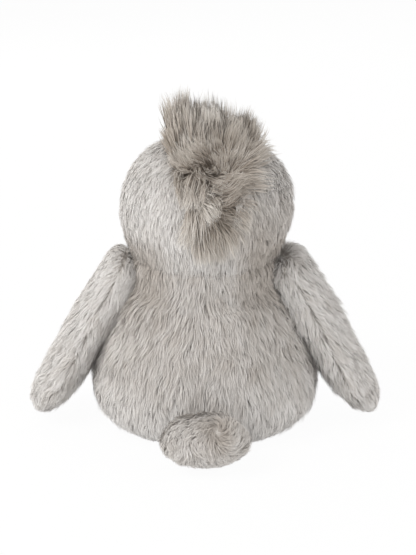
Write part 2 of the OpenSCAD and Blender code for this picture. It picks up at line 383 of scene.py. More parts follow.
def form_object(name, bm):
    """A new object from a bmesh, which is freed."""
    mesh = bpy.data.meshes.new(name)
    bm.to_mesh(mesh)
    bm.free()
    form = bpy.data.objects.new(name, mesh)
    bpy.context.collection.objects.link(form)
    return form


# %% Swelling
CLOTH_STEPS = 20
CLOTH_STIFFNESS = 12


def cap_moves(points, start, limit):
    """Points moved from start to no further than limit."""
    move = points - start
    size = np.linalg.norm(move, axis=1, keepdims=True)
    return start + move * np.minimum(1, limit / np.maximum(size, 1e-9))


def blow_up(form, held, pressure, limit):
    """Swells a closed form with Cloth. held gives how firmly each point is pinned, from 0 to 1."""
    start = mesh_points(form.data)
    pins = form.vertex_groups.new(name="seams")
    for index, weight in enumerate(held(start)):
        if weight > 0.01:
            pins.add([index], float(weight), "REPLACE")
    cloth = form.modifiers.new("cloth", "CLOTH")
    cloth.settings.quality = 6
    cloth.settings.mass = 0.15
    cloth.settings.tension_stiffness = CLOTH_STIFFNESS
    cloth.settings.compression_stiffness = CLOTH_STIFFNESS
    cloth.settings.bending_stiffness = 0.6
    cloth.settings.use_pressure = True
    cloth.settings.uniform_pressure_force = pressure
    cloth.settings.vertex_group_mass = pins.name
    cloth.settings.effector_weights.gravity = 0
    cloth.collision_settings.use_collision = False
    scene = bpy.context.scene
    for step in range(1, CLOTH_STEPS + 1):
        scene.frame_set(step)
    dressed = form.evaluated_get(bpy.context.evaluated_depsgraph_get())
    swollen = cap_moves(mesh_points(dressed.data), start, limit)
    form.modifiers.clear()
    form.vertex_groups.clear()
    scene.frame_set(1)
    set_points(form.data, swollen)
    moved = np.linalg.norm(swollen - start, axis=1) / MM
    print(form.name, "swelled by", round(float(moved.mean()), 1), "mm, at most",
          round(float(moved.max()), 1))
    return form


# %% [markdown]
# ## Hair
# One lock is a narrow blade that bmesh makes from a grid, with its far end drawn to a point. All
# locks of a panel are copies of that blade, bent by numpy in one go. A lock walks over the skin:
# each step leaves along the comb, and is then drawn to its height over the nearest skin, so a
# combed coat lies round the form like the real one. Short locks gather into fine tufts, and the
# tufts into broad ones, which gives plush its soft streaks.


# %% The blade
def blade_template(steps):
    """Side and step of each point of one blade, and its faces."""
    bm = bmesh.new()
    bmesh.ops.create_grid(bm, x_segments=1, y_segments=steps, size=1)
    tip = [v for v in bm.verts if v.co.y > 0.99]
    bmesh.ops.pointmerge(bm, verts=tip, merge_co=Vector((0, 1, 0)))
    bm.verts.index_update()
    places = np.array([v.co[:] for v in bm.verts])
    faces = [[v.index for v in f.verts] for f in bm.faces]
    bm.free()
    return places[:, 0], np.rint((places[:, 1] + 1) / 2 * steps).astype(int), faces


# %% Helpers for fields over the skin
def unit(vectors):
    """Vectors scaled to length 1."""
    return vectors / np.maximum(np.linalg.norm(vectors, axis=-1, keepdims=True), 1e-12)


def ease(values, middle, width):
    """A soft step from 0 to 1 around middle."""
    return 1 / (1 + np.exp(-(values - middle) / width))


def above(points, height, width):
    """A soft step from 0 under a height to 1 over it."""
    return ease(points[:, 2], height, width)


def below(points, height, width):
    """A soft step from 0 over a height to 1 under it."""
    return ease(-points[:, 2], -height, width)


def hump(off, width):
    """1 where off is 0, and softly down to 0 past width on both sides."""
    return np.exp(-(off / width) ** 2)


def by_height(points, heights, values):
    """Values in mm at given heights in mm, and in between them."""
    return np.interp(points[:, 2], np.array(heights) * MM, np.array(values) * MM)


def same(value):
    """A rule for a style: the same value everywhere."""
    return lambda points: np.full(len(points), value)


def ripple(points, scale, seed):
    """A smooth pattern of about -1 to 1 over space, with waves of about the given length."""
    waves = np.random.default_rng(seed)
    total = np.zeros(len(points))
    for _ in range(6):
        way = unit(waves.normal(size=3)) * 2 * math.pi / scale * waves.uniform(0.6, 1.5)
        total += np.sin(points @ way + waves.uniform(0, 2 * math.pi))
    return total / 3


def closest_of(centres):
    """A function that gives, for many places, the number of the closest centre."""
    tree = kdtree.KDTree(len(centres))
    for i, centre in enumerate(centres):
        tree.insert(centre, i)
    tree.balance()
    return lambda places: np.array([tree.find(place)[1] for place in places])


def skin_finder(form):
    """A function that gives the nearest skin of a form, and its normal, for many places."""
    points, ways = mesh_points(form.data), mesh_normals(form.data)
    closest = closest_of(points)

    def find(places):
        near = closest(places)
        off = ((places - points[near]) * ways[near]).sum(1, keepdims=True)
        return places - ways[near] * off, ways[near]

    return find


# %% Roots
def spread_roots(form, per_mm2, seed):
    """Random places on a form, with their normals."""
    rng = np.random.default_rng(seed)
    mesh = form.data
    mesh.calc_loop_triangles()
    corners = np.empty(len(mesh.loop_triangles) * 3, np.int32)
    mesh.loop_triangles.foreach_get("vertices", corners)
    corners = corners.reshape(-1, 3)
    points, normals = mesh_points(mesh), mesh_normals(mesh)
    a, b, c = (points[corners[:, i]] for i in range(3))
    area = np.linalg.norm(np.cross(b - a, c - a), axis=1) / 2
    count = int(area.sum() / MM ** 2 * per_mm2)
    picked = np.sort(rng.choice(len(area), count, p=area / area.sum()))
    u, v = rng.random(count), rng.random(count)
    flip = u + v > 1
    u[flip], v[flip] = 1 - u[flip], 1 - v[flip]
    share = np.stack([1 - u - v, u, v], 1)[:, :, None]
    print(form.name, "carries", count, "roots")
    return (points[corners[picked]] * share).sum(1), unit((normals[corners[picked]] * share).sum(1))


# %% [markdown]
# A style says how the hair of a panel grows. Most of its entries are rules that give a value for
# each root: `comb` and `length`, `lean` from the normal in degrees, `lift` of the tip over the
# skin as a share of the length, `hug` for how closely a lock keeps to that lift, `aim` for a pull
# in one direction, and `tone`. The others are plain numbers for the whole panel. Each entry of
# `tufts` gives the share of locks that lead a tuft, how strongly they draw the others, and how
# much the tufts differ.

# %% The standard style
FLOOR_GAP = 0.4 * MM
LOWEST_HAIR = 0.3 * MM
TALLEST = 245.5 * MM
TALLEST_SOFTENS = 5 * MM
TONE_PATCH = 16 * MM

STANDARD = {
    "steps": 3, "width": 0.34 * MM, "roll": 0.5, "soften": 2.6,
    "lean": same(40), "bow": 38, "lift": same(0.42), "hug": same(0.75), "sag": 0.1,
    "aim": lambda points: np.zeros_like(points), "scatter": 0.1,
    "swirl": 0.3, "swirl_size": 20 * MM, "stray": 0.22,
    "tufts": ((0.11, 0.32, 0.1), (0.012, 0.25, 0.14)),
    "tone": same(0.55), "mottle": 0.1, "speckle": 0.07}


# %% Growing locks
def comb_out(find, roots, normals, style, length, lean, turn, rng):
    """The points along each lock, from root to tip."""
    steps = style["steps"]
    lift = length * style["lift"](roots) * rng.uniform(0.6, 1.3, len(roots))
    aim, hug = style["aim"](roots), style["hug"](roots)
    own_way = 1 - np.linalg.norm(aim, axis=1, keepdims=True)
    astray = rng.normal(0, style["scatter"], (len(roots), 3))
    line, skin, way = [roots], roots, normals
    for step in range(1, steps + 1):
        share = step / steps
        comb = unit(style["comb"](skin, way))
        flow = comb - (comb * way).sum(1, keepdims=True) * way
        flow += np.cross(way, flow) * turn[:, None]
        angle = np.radians(lean + style["bow"] * share)[:, None]
        heading = unit(way * np.cos(angle) + flow * np.sin(angle)) * own_way + aim + astray
        heading[:, 2] -= style["sag"] * share
        place = line[-1] + unit(heading) * (length / steps)[:, None]
        skin, way = find(place)
        height = ((place - skin) * way).sum(1)
        wanted = lift * math.sin(share * math.pi / 2)
        height += (wanted - height) * hug
        line.append(skin + way * np.maximum(height, LOWEST_HAIR)[:, None])
    lines = np.stack(line, 1)
    lines[:, 1:, 2] = np.maximum(lines[:, 1:, 2], FLOOR_GAP)
    return lines


def gather(lines, leaders, tuft, pull, rng):
    """Draws the tips of the locks of each tuft towards its leader."""
    draw = (pull * rng.uniform(0.4, 1.2, len(leaders))[tuft]).clip(0, 0.92)
    along = np.linspace(0, 1, lines.shape[1])[None, :, None] ** 1.4
    return lines + (lines[leaders[tuft]] - lines) * draw[:, None, None] * along


def blades(lines, normals, tint, style, rng):
    """One blade along each lock: their points, normals and UVs, and the faces of one blade."""
    steps, count = style["steps"], len(lines)
    side_of, step_of, faces = blade_template(steps)
    along = unit(np.gradient(lines, axis=1))
    side = unit(np.cross(along, normals[:, None, :]))
    roll = rng.normal(0, style["roll"], count)[:, None, None]
    side = side * np.cos(roll) + np.cross(along, side) * np.sin(roll)
    taper = np.interp(np.linspace(0, 1, steps + 1), [0, 0.5, 0.8, 1], [0.8, 1, 0.75, 0])
    half = style["width"] / 2 * rng.uniform(0.7, 1.3, count)
    offset = side * (half[:, None] * taper[None, :])[:, :, None]
    points = lines[:, step_of] + offset[:, step_of] * side_of[None, :, None]
    flat_way = unit(np.cross(side, along))
    shade_way = unit(normals[:, None, :] * style["soften"] + flat_way)[:, step_of]
    u = tint.clip(0.02, 0.98)[:, None] + side_of[None, :] * 0.004
    bleached = (tint - 1).clip(0, 0.7)[:, None]
    v = (step_of / steps * 0.96 + 0.02) * (1 - bleached) + 0.98 * bleached
    return points, shade_way, np.stack([u, v], 2), faces


def grow_locks(find, roots, normals, style, seed):
    """The blades of one panel. A tint over 1 also bleaches a lock, which makes its root pale."""
    rng = np.random.default_rng(seed)
    count = len(roots)
    length = style["length"](roots) * rng.uniform(0.7, 1.15, count)
    lean = style["lean"](roots) + rng.normal(0, 8, count)
    turn = style["swirl"] * ripple(roots, style["swirl_size"], seed)
    turn += rng.normal(0, style["stray"], count)
    tint = style["tone"](roots) + style["mottle"] * ripple(roots, TONE_PATCH, seed + 1)
    tint += rng.normal(0, style["speckle"], count)
    tufts = []
    for share, pull, wild in style["tufts"]:
        leaders = rng.choice(count, max(8, int(count * share)), replace=False)
        tuft = closest_of(roots[leaders])(roots)
        tufts.append((leaders, tuft, pull))
        turn += rng.normal(0, wild, len(leaders))[tuft]
        lean += rng.normal(0, 30 * wild, len(leaders))[tuft]
        length *= 1 + rng.uniform(-wild, wild / 2, len(leaders))[tuft]
        tint += rng.normal(0, style["speckle"], len(leaders))[tuft]
    lines = comb_out(find, roots, normals, style, length, lean, turn, rng)
    for leaders, tuft, pull in tufts:
        lines = gather(lines, leaders, tuft, pull, rng)
    excess = (lines[:, :, 2] - TALLEST).clip(0)
    lines[:, :, 2] -= excess - TALLEST_SOFTENS * (1 - np.exp(-excess / TALLEST_SOFTENS))
    return blades(lines, normals, tint, style, rng)


# %% Cutting a panel from a form
BACKING = 0.8 * MM


def cut_fabric(form, inside, thickness):
    """A bmesh of the faces of a form that lie inside a panel, as fabric with a thickness."""
    bm = bmesh.new()
    bm.from_mesh(form.data)
    keep = inside(np.array([f.calc_center_median()[:] for f in bm.faces]))
    bmesh.ops.delete(bm, geom=[f for f, k in zip(bm.faces, keep) if not k], context="FACES")
    bmesh.ops.solidify(bm, geom=bm.faces[:], thickness=thickness)
    return bm


def cut_skin(form, inside):
    """The backing of a fur panel: its points, their normals and its faces."""
    bm = cut_fabric(form, inside, BACKING)
    bm.verts.index_update()
    bm.normal_update()
    points = np.array([v.co[:] for v in bm.verts])
    ways = np.array([v.normal[:] for v in bm.verts])
    faces = [[v.index for v in f.verts] for f in bm.faces]
    bm.free()
    return points, ways, faces


def over(height):
    """The rule of a panel that lies over a level seam."""
    return lambda points: points[:, 2] > height


def under(height):
    """The rule of a panel that lies under a level seam."""
    return lambda points: points[:, 2] <= height


def finish_piece(piece, body, slot_name, nodes):
    """Attaches a piece to the body it rides on and hides the CAD nodes it stands for."""
    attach(piece, body)
    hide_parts(*nodes)


# %% Panels with hair
def joined_mesh(name, points, loops, sizes):
    """A mesh from the points, the corners of all faces in a row, and each face's corner count."""
    mesh = bpy.data.meshes.new(name)
    mesh.vertices.add(len(points))
    mesh.vertices.foreach_set("co", points.astype(np.float32).ravel())
    mesh.loops.add(len(loops))
    mesh.loops.foreach_set("vertex_index", loops.astype(np.int32))
    mesh.polygons.add(len(sizes))
    starts = np.concatenate([[0], np.cumsum(sizes)[:-1]])
    mesh.polygons.foreach_set("loop_start", starts.astype(np.int32))
    mesh.update(calc_edges=True)
    mesh.shade_smooth()
    return mesh


def fur_panel(name, form, find, inside, roots, normals, style, finish, seed):
    """One panel: its fabric, cut from a form, and the locks that grow on it, as one mesh."""
    skin_points, skin_ways, skin_faces = cut_skin(form, inside)
    mine = inside(roots)
    points, ways, uv, blade = grow_locks(find, roots[mine], normals[mine], {**STANDARD, **style}, seed)
    count, per = points.shape[:2]
    sizes = np.array([len(f) for f in skin_faces] + [len(f) for f in blade] * count)
    hair_loops = np.arange(count)[:, None] * per + np.concatenate(blade)[None, :] + len(skin_points)
    loops = np.concatenate([np.concatenate(skin_faces), hair_loops.ravel()])
    everything = np.concatenate([skin_points, points.reshape(-1, 3)])
    mesh = joined_mesh(name, everything, loops, sizes)
    skin_uv = np.stack([0.5 + 0.2 * ripple(skin_points, TONE_PATCH, seed),
                        0.10 + 0.05 * ripple(skin_points, 9 * MM, seed)], 1).clip(0.01, 0.99)
    every_uv = np.concatenate([skin_uv, uv.reshape(-1, 2)])[loops]
    mesh.uv_layers.new(name="OFBake").uv.foreach_set("vector", every_uv.astype(np.float32).ravel())
    mesh.normals_split_custom_set_from_vertices(np.concatenate([skin_ways, ways.reshape(-1, 3)]))
    mesh.materials.append(finish)
    panel = bpy.data.objects.new(name, mesh)
    bpy.context.collection.objects.link(panel)
    print(name, "has", count, "locks and", int((sizes - 2).sum()), "triangles")
    return panel


# %% [markdown]
# ## The body
# The body is a pear with a flat seat. A centre back seam, two side seams and the seam round the
# seat divide it into four panels. The pear is a spun outline; its seams are pinned while the
# panels swell. Above the shoulders the panels go on as a collar, which hides in the head's fur
# and lets the head turn.

# %% Body sizes
PILE_DEPTH = 3.2 * MM
BODY_SWELL = 1.3 * MM
seat_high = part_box("base_panel")[1]
back_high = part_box("back_panel_left")[1]
body_radius = back_high[0] - PILE_DEPTH - BODY_SWELL
body_flatness = seat_high[1] / seat_high[0]
body_top = back_high[2]
seat_radius = seat_high[0] - 3 * MM - BODY_SWELL / 2
SEAT_HEIGHT = 1.5 * MM
BELLY_HEIGHT = 30 * MM
SHOULDER_HEIGHT = 100 * MM
NECK_RADIUS = 49 * MM
COLLAR_TOP = 132 * MM
CHIN_DROP = 4 * MM
BACK_SEAM = math.pi / 2
SIDE_SEAM = math.radians(15)
SEAM_WIDTH = 3 * MM
print("body radius, mm:", round(body_radius / MM, 1), "seat radius, mm:", round(seat_radius / MM, 1))


# %% Body form
def pear_radius(height):
    """Radius of the body's skin at a height above the seat."""
    if height < BELLY_HEIGHT:
        bulge = math.sin(math.acos(1 - height / BELLY_HEIGHT))
        return seat_radius + (body_radius - seat_radius) * bulge
    rise = min(1, (height - BELLY_HEIGHT) / (body_top - BELLY_HEIGHT))
    collar = max(0, height - body_top) / (COLLAR_TOP - body_top)
    narrowing = rise ** 1.75 * (1.45 - 0.45 * rise)
    return body_radius + (NECK_RADIUS - body_radius) * narrowing + 2 * MM * collar ** 2


def neck_height(points):
    """Height of the seam between body and head, which is lower under the chin."""
    return COLLAR_TOP - CHIN_DROP * (-points[:, 1] / (45 * MM)).clip(0, 1)


def in_fixed_order(bm):
    """The same mesh with its faces sorted, because spin adds them in an order that varies."""
    bm.verts.index_update()
    corners = [[v.index for v in f.verts] for f in bm.faces]
    starts = [face.index(min(face)) for face in corners]
    again = bmesh.new()
    verts = [again.verts.new(v.co) for v in bm.verts]
    for face in sorted(face[start:] + face[:start] for face, start in zip(corners, starts)):
        again.faces.new([verts[i] for i in face])
    bm.free()
    return again


def body_form():
    """The closed skin of the body: a spun pear with a collar that cups the head."""
    bm = bmesh.new()
    heights = [SEAT_HEIGHT + (COLLAR_TOP - SEAT_HEIGHT) * t ** 1.15 for t in np.linspace(0, 1, 52)]
    outline = [bm.verts.new((seat_radius * t, 0, heights[0])) for t in np.linspace(0, 0.96, 14)]
    outline += [bm.verts.new((pear_radius(h), 0, h)) for h in heights[1:]]
    outline += [bm.verts.new((pear_radius(COLLAR_TOP) * t, 0, COLLAR_TOP - 8 * MM * (1 - t)))
                for t in np.linspace(0.94, 0, 12)]
    edges = [bm.edges.new(pair) for pair in zip(outline, outline[1:])]
    bmesh.ops.spin(bm, geom=outline + edges, cent=(0, 0, 0), axis=(0, 0, 1), angle=2 * math.pi,
                   steps=144, use_merge=True)
    bmesh.ops.remove_doubles(bm, verts=bm.verts, dist=0.02 * MM)
    bmesh.ops.recalc_face_normals(bm, faces=bm.faces)
    return form_object("body_form", in_fixed_order(bm))


def shape_collar(form):
    """Flattens the pear, rounds its collar, tucks the rim in behind and lowers it at the chin."""
    points = mesh_points(form.data)
    share = ((points[:, 2] - SHOULDER_HEIGHT) / (COLLAR_TOP - SHOULDER_HEIGHT)).clip(0, 1)
    points[:, 1] *= body_flatness + (0.97 - body_flatness) * share
    tuck = above(points, COLLAR_TOP - 2.5 * MM, 0.8 * MM) * ease(points[:, 1], 2 * MM, 5 * MM)
    points[:, :2] *= 1 - 0.11 * tuck[:, None]
    points[:, 2] -= (COLLAR_TOP - neck_height(points)) * share
    set_points(form.data, points)
    return form


def seam_distance(points, angle):
    """Distance of each point from an upright seam plane on one side of the body's middle."""
    along = points[:, 0] * math.cos(angle) + points[:, 1] * math.sin(angle)
    off = np.abs(-points[:, 0] * math.sin(angle) + points[:, 1] * math.cos(angle))
    return np.where(along > 0, off, 1)


def body_seams(points):
    """How firmly each point of the body is pinned, from 0 to 1 along the seams."""
    distance = np.min([seam_distance(points, angle)
                       for angle in (BACK_SEAM, -SIDE_SEAM, math.pi + SIDE_SEAM)], axis=0)
    flat = (points[:, 2] < 4 * MM) | (points[:, 2] > SHOULDER_HEIGHT)
    return np.maximum(hump(distance, SEAM_WIDTH), flat)


body = blow_up(shape_collar(body_form()), body_seams, pressure=9000, limit=2.5 * MM)


# %% Body panels
def in_seat(points):
    """The seat, which the body stands on."""
    from_middle = np.hypot(points[:, 0], points[:, 1] / body_flatness)
    return (points[:, 2] < 3 * MM) & (from_middle < seat_radius)


def in_coat(points):
    """Everywhere but the seat and the open neck."""
    neck = (points[:, 2] > 104 * MM) & (np.hypot(points[:, 0], points[:, 1]) < 0.92 * NECK_RADIUS)
    return ~in_seat(points) & ~neck


def in_belly(points):
    """The front, from one side seam to the other."""
    turn = np.arctan2(points[:, 1], points[:, 0])
    return in_coat(points) & (turn < -SIDE_SEAM) & (turn > SIDE_SEAM - math.pi)


def in_back(side):
    """The back panel on one side: 1 for the penguin's left, -1 for its right."""
    return lambda points: in_coat(points) & ~in_belly(points) & (points[:, 0] * side > 0)


# %% Body hair
def comb_down(points, normals):
    """Down the body, and a little away from the centre back seam."""
    way = np.zeros_like(points)
    way[:, 2] = -1
    way[:, 0] = np.sign(points[:, 0]) * 0.05 * np.exp(-np.abs(points[:, 0]) / (12 * MM))
    return way


def over_edges(points):
    """Out over each wing root and over the rim of the neck, to cover their seams."""
    shoulder = 0.6 * above(points, 94 * MM, 7 * MM) * ease(np.abs(points[:, 0]), 31 * MM, 4 * MM)
    rim = 0.85 * ease(points[:, 2] - neck_height(points), -5 * MM, 1.2 * MM) * (points[:, 1] < 0)
    out = unit(points * np.array([1, 1, 0]))
    out[:, 2] = -0.8
    return unit(out) * np.maximum(shoulder, rim)[:, None]


def body_length(points):
    """Shorter near the seat and under the head."""
    return by_height(points, [4, 25, 85, 130], [9, 16, 16, 12])


def body_painted_light_and_shade(points):
    """Painted bounce light from the floor, paler towards the seat, and painted shade behind each wing
    root.
    """
    # shoulder marks where painted shade falls behind each wing root
    shoulder = above(points, 100 * MM, 5 * MM) * ease(np.abs(points[:, 0]), 26 * MM, 4 * MM)
    # paler below 40 mm is painted bounce light from the floor, darker at the shoulder is painted shade
    return 0.5 + 0.6 * below(points, 40 * MM, 9 * MM) - 0.6 * shoulder


body_style = {"comb": comb_down, "aim": over_edges, "length": body_length, "tone": body_painted_light_and_shade}
belly_style = {**body_style, "tone": same(0.75)}
seat_style = {**body_style, "length": same(6 * MM), "aim": STANDARD["aim"], "lift": same(0.1),
              "hug": same(1), "scatter": 0.02, "sag": 0}

body_skin = skin_finder(body)
body_roots, body_normals = spread_roots(body, 2.1, 11)
covered = (body_roots[:, 2] > SHOULDER_HEIGHT) & (body_normals[:, 2] > 0.4) & (body_roots[:, 1] > 0)
body_roots, body_normals = body_roots[~covered], body_normals[~covered]
for node, inside, style, finish, slot_name, seed in (
        ("back_panel_left", in_back(1), body_style, grey_pile, "grey_fur", 21),
        ("back_panel_right", in_back(-1), body_style, grey_pile, "grey_fur", 22),
        ("belly_panel", in_belly, belly_style, cream_pile, "cream_fur", 23),
        ("base_panel", in_seat, seat_style, grey_pile, "grey_fur", 24)):
    panel = fur_panel("fur_" + node, body, body_skin, inside, body_roots, body_normals, style,
                      finish, seed)
    finish_piece(panel, "body", slot_name, [node])
bpy.data.objects.remove(body)

# %% [markdown]
# ## The head
# The head is an egg that sits on the neck ball. Its seams run along both edges of the crest and
# round the face. The hair of the sides is shorter and finer than the body's. The crest's long
# hair turns round a whorl high on the back of the head: over it the hair stands up, beside it the
# hair lies to the right, and under it the hair hangs down to the nape.

# %% Head sizes
HEAD_SWELL = (0.9 * MM, 0.4 * MM, 0.4 * MM)
HEAD_HEIGHT = 160 * MM
fill_high = Vector(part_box("head_stuffing")[1])
side_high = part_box("head_side_left")[1]
head_radii = Vector((side_high[0] - PILE_DEPTH - HEAD_SWELL[0], fill_high.y - HEAD_SWELL[1],
                     fill_high.z - HEAD_HEIGHT - HEAD_SWELL[2]))
FACE_HEIGHT = 149 * MM
FACE_HALF = 43 * MM
WHORL = np.array([-5, 42, 197]) * MM
CREST_MIDDLE = -5 * MM
CREST_HEIGHTS = np.array([147, 167, 185, 200, 218]) * MM
CREST_HALVES = np.array([5, 14, 20, 26, 30]) * MM
print("head radii, mm:", [round(radius / MM, 1) for radius in head_radii])


# %% Head form
def head_form():
    """The closed skin of the head: an egg."""
    bm = bmesh.new()
    bmesh.ops.create_icosphere(bm, subdivisions=6, radius=1)
    bmesh.ops.scale(bm, vec=head_radii, verts=bm.verts)
    bmesh.ops.translate(bm, vec=(0, 0, HEAD_HEIGHT), verts=bm.verts)
    return form_object("head_form", bm)


def crest_half(points):
    """Half the width of the crest at each point's height."""
    return np.interp(points[:, 2], CREST_HEIGHTS, CREST_HALVES)


def crest_edge(points):
    """Distance of each point outside the edge of the crest, less than 0 inside it."""
    half = crest_half(points) + 1.5 * MM * ripple(points, 9 * MM, 5)
    middle = CREST_MIDDLE * (0.6 + 0.4 * ease(points[:, 1], 0, 8 * MM))
    return np.where(points[:, 2] > CREST_HEIGHTS[0], np.abs(points[:, 0] - middle) - half, 1)


def face_edge(points):
    """Distance of each point outside the edge of the face, less than 0 inside it."""
    off = np.hypot(points[:, 0], points[:, 2] - FACE_HEIGHT) - FACE_HALF
    return np.where(points[:, 1] < 0, off, 1)


def head_seams(points):
    """How firmly each point of the head is pinned, from 0 to 1 along the seams."""
    face = face_edge(points)
    crest = np.where(points[:, 2] > CREST_HEIGHTS[0], np.abs(crest_edge(points)), np.abs(points[:, 0]))
    distance = np.minimum(np.where(face > 0, crest, 1), np.abs(face))
    return np.maximum(hump(distance, SEAM_WIDTH), points[:, 2] < neck_height(points))


head = blow_up(head_form(), head_seams, pressure=9000, limit=2 * MM)


# %% Head panels
def above_neck(points):
    """The head without the part that sits in the body's collar."""
    return points[:, 2] > neck_height(points) - 8 * MM


def in_face(points):
    """The round front panel."""
    return above_neck(points) & (face_edge(points) < 0)


def in_crest(points):
    """The strip from the forehead over the crown to the nape."""
    return (crest_edge(points) < 0) & ~in_face(points)


def in_head_side(side):
    """The side of the head: 1 for the penguin's left, -1 for its right."""
    return lambda points: (above_neck(points) & ~in_face(points) & ~in_crest(points)
                           & (points[:, 0] * side > 0))


# %% Hair of the sides and the face
def at_neck(points):
    """From 1 along the neck seam to 0 well above it."""
    return ease(neck_height(points) - points[:, 2], -12 * MM, 4 * MM)


def shoulder_side(points):
    """From 0 behind the nape to 1 over each shoulder."""
    return ease(np.abs(points[:, 0]), 29 * MM, 4 * MM) * ease(points[:, 1], -6 * MM, 5 * MM)


def comb_head(points, normals):
    """Back from the face and down to the neck."""
    way = np.zeros_like(points)
    way[:, 2] = -1
    way[:, 1] = 0.5 * hump(points[:, 1], 30 * MM) + 0.2
    way[:, 0] = np.sign(points[:, 0]) * 0.5 * (points[:, 2] > 190 * MM)
    return way


def over_neck(points):
    """Along the neck seam, where the head's hair hangs out over the body."""
    way = points * np.array([1, 1, 0])
    way = unit(way) * 0.3 + np.array([0, 0, -0.9])
    return way * 0.8 * at_neck(points)[:, None]


def comb_face(points, normals):
    """Out from the beak."""
    way = points - np.array([0, 0, FACE_HEIGHT - 3 * MM])
    way[:, 1] = 0
    return way


def side_tone_painted_shade(points):
    """Palest on each cheek, with painted shade along the crest, on the right away from the key lamp,
    and in the neck crease over the shoulders.
    """
    # painted shadow of the crest's hair along its edge
    painted_crest_edge_shadow = np.exp(-crest_edge(points).clip(0, 1) / (5 * MM))
    painted_crest_edge_shadow *= 0.15 + 0.2 * ease(points[:, 0], 0, 8 * MM)
    # painted shade on the right side, which faces away from the key lamp
    right = ease(-points[:, 0], 12 * MM, 3 * MM) * ease(60 * MM + points[:, 0], 0, 8 * MM)
    right *= above(points, 145 * MM, 6 * MM) * below(points, 190 * MM, 5 * MM)
    low = below(points, 178 * MM, 6 * MM)
    # painted shade in the neck crease over each shoulder
    creased = ease(neck_height(points) - points[:, 2], -17 * MM, 4 * MM) * shoulder_side(points)
    return 0.9 - painted_crest_edge_shadow - (0.2 + 0.45 * low) * right - creased


def side_lift(points):
    """Fuller on the upper right, where the crest's hair pushes it up."""
    return 0.36 + 0.18 * ease(-points[:, 0], 18 * MM, 6 * MM) * above(points, 160 * MM, 8 * MM)


def side_length(points):
    """Longest behind the neck, where the hair falls over the body, and on the upper right."""
    right = ease(-points[:, 0], 36 * MM, 6 * MM) * above(points, 168 * MM, 8 * MM)
    falling = at_neck(points) * (1 - 0.8 * shoulder_side(points))
    return 11 * MM + 9 * MM * falling + 4 * MM * right


def face_length(points):
    """Short round the beak, longer where it hangs over the belly."""
    return 6.5 * MM + 9 * MM * at_neck(points)


side_style = {"comb": comb_head, "aim": over_neck, "length": side_length, "width": 0.33 * MM,
              "lift": side_lift, "hug": lambda points: 0.75 - 0.7 * at_neck(points),
              "tufts": ((0.11, 0.3, 0.06), (0.012, 0.22, 0.1)),
              "tone": side_tone_painted_shade, "mottle": 0.07, "speckle": 0.05}
face_style = {**side_style, "comb": comb_face, "length": face_length,
              "tufts": ((0.11, 0.2, 0.04), (0.02, 0.1, 0.05)), "tone": same(0.8), "speckle": 0.03}


# %% Crest comb
def comb_crest(points, normals):
    """Up over the whorl, to the right beside it, down to the nape under it, and round it."""
    off = points - WHORL
    up = ease(off[:, 2], 1 * MM, 3 * MM)
    beside = (1 - up) * ease(-off[:, 0], 4 * MM, 3 * MM) * ease(off[:, 2], -34 * MM, 5 * MM)
    way = np.zeros_like(points)
    way[:, 2] = up - (1 - up) * (1 - 0.8 * beside)
    way[:, 0] = up * off[:, 0] / (36 * MM) - 1.5 * beside
    way[:, 1] = -0.25 * up
    near = np.exp(-(off ** 2).sum(1, keepdims=True) / (20 * MM) ** 2)
    return way + 1.3 * near * np.cross(normals, unit(off))


def stand_up(points):
    """Upright over the crown, and hanging at the nape."""
    up = ease(points[:, 2] - WHORL[2], 5 * MM, 3 * MM)
    way = np.zeros_like(points)
    way[:, 0] = -0.12 * ease(-points[:, 0], 0, 8 * MM) - 0.22 * ease(points[:, 0], 12 * MM, 4 * MM)
    way[:, 2] = 1
    way *= 0.7 * up[:, None]
    way[:, 2] -= 0.5 * below(points, 170 * MM, 6 * MM)
    return way


def crest_lean(points):
    """Almost along the normals over the crown, flatter under the whorl."""
    return 34 - 26 * ease(points[:, 2] - WHORL[2], 3 * MM, 3 * MM)


# %% Crest tones and lengths
def patch(points, x, z, size):
    """A round patch on the crest: 1 in its middle, 0 past its size, all in mm."""
    return hump(np.hypot(points[:, 0] - x * MM, points[:, 2] - z * MM), size * MM)


def pale_strands(points):
    """From 1 on the strands left of the nape's middle to 0 away from them."""
    return hump(points[:, 0] - 7 * MM, 6 * MM) * below(points, 188 * MM, 4 * MM)


def crest_tone_painted_shade(points):
    """Painted shadow along the left edge and painted shade in two hollow spots by the whorl, pale on
    the curl and at the nape.
    """
    # painted shadow in the groove along the crest's left edge
    painted_groove_shadow = hump(points[:, 0] - (crest_half(points) - 4 * MM), 5 * MM)
    painted_groove_shadow *= above(points, 165 * MM, 6 * MM) * below(points, 212 * MM, 3 * MM)
    # painted shade in two hollow spots below and beside the whorl
    painted_hollow_shade = patch(points, -8, 172, 10) + patch(points, -5, 200, 9)
    curl = patch(points, -6, 213, 11)
    nape = np.maximum(pale_strands(points), below(points, 160 * MM, 5 * MM))
    right = ease(-points[:, 0], 14 * MM, 4 * MM) * above(points, 200 * MM, 4 * MM)
    return 0.64 - 0.38 * painted_groove_shadow - 0.2 * painted_hollow_shade + 0.5 * curl + 0.8 * nape - 0.2 * right


def crest_length(points):
    """Longest over the crown and to its left, shorter towards the nape and the forehead."""
    tall = 0.62 * hump(points[:, 0] - 18 * MM, 7 * MM) + 0.2 * hump(points[:, 0] - 4 * MM, 7 * MM)
    longer = 1 + 0.3 * pale_strands(points) + tall * above(points, 205 * MM, 2 * MM)
    front = 1 - 0.4 * ease(-points[:, 1], 14 * MM, 6 * MM)
    return by_height(points, [147, 167, 195, 214], [23, 25, 24, 27]) * front * longer


crest_style = {"comb": comb_crest, "aim": stand_up, "length": crest_length, "lean": crest_lean,
               "bow": 34, "hug": same(0), "tufts": ((0.05, 0.4, 0.25), (0.01, 0.45, 0.45)),
               "width": 0.36 * MM, "steps": 6, "scatter": 0.18, "swirl": 0.5,
               "swirl_size": 22 * MM, "soften": 1.4, "mottle": 0.14, "speckle": 0.1,
               "tone": crest_tone_painted_shade}

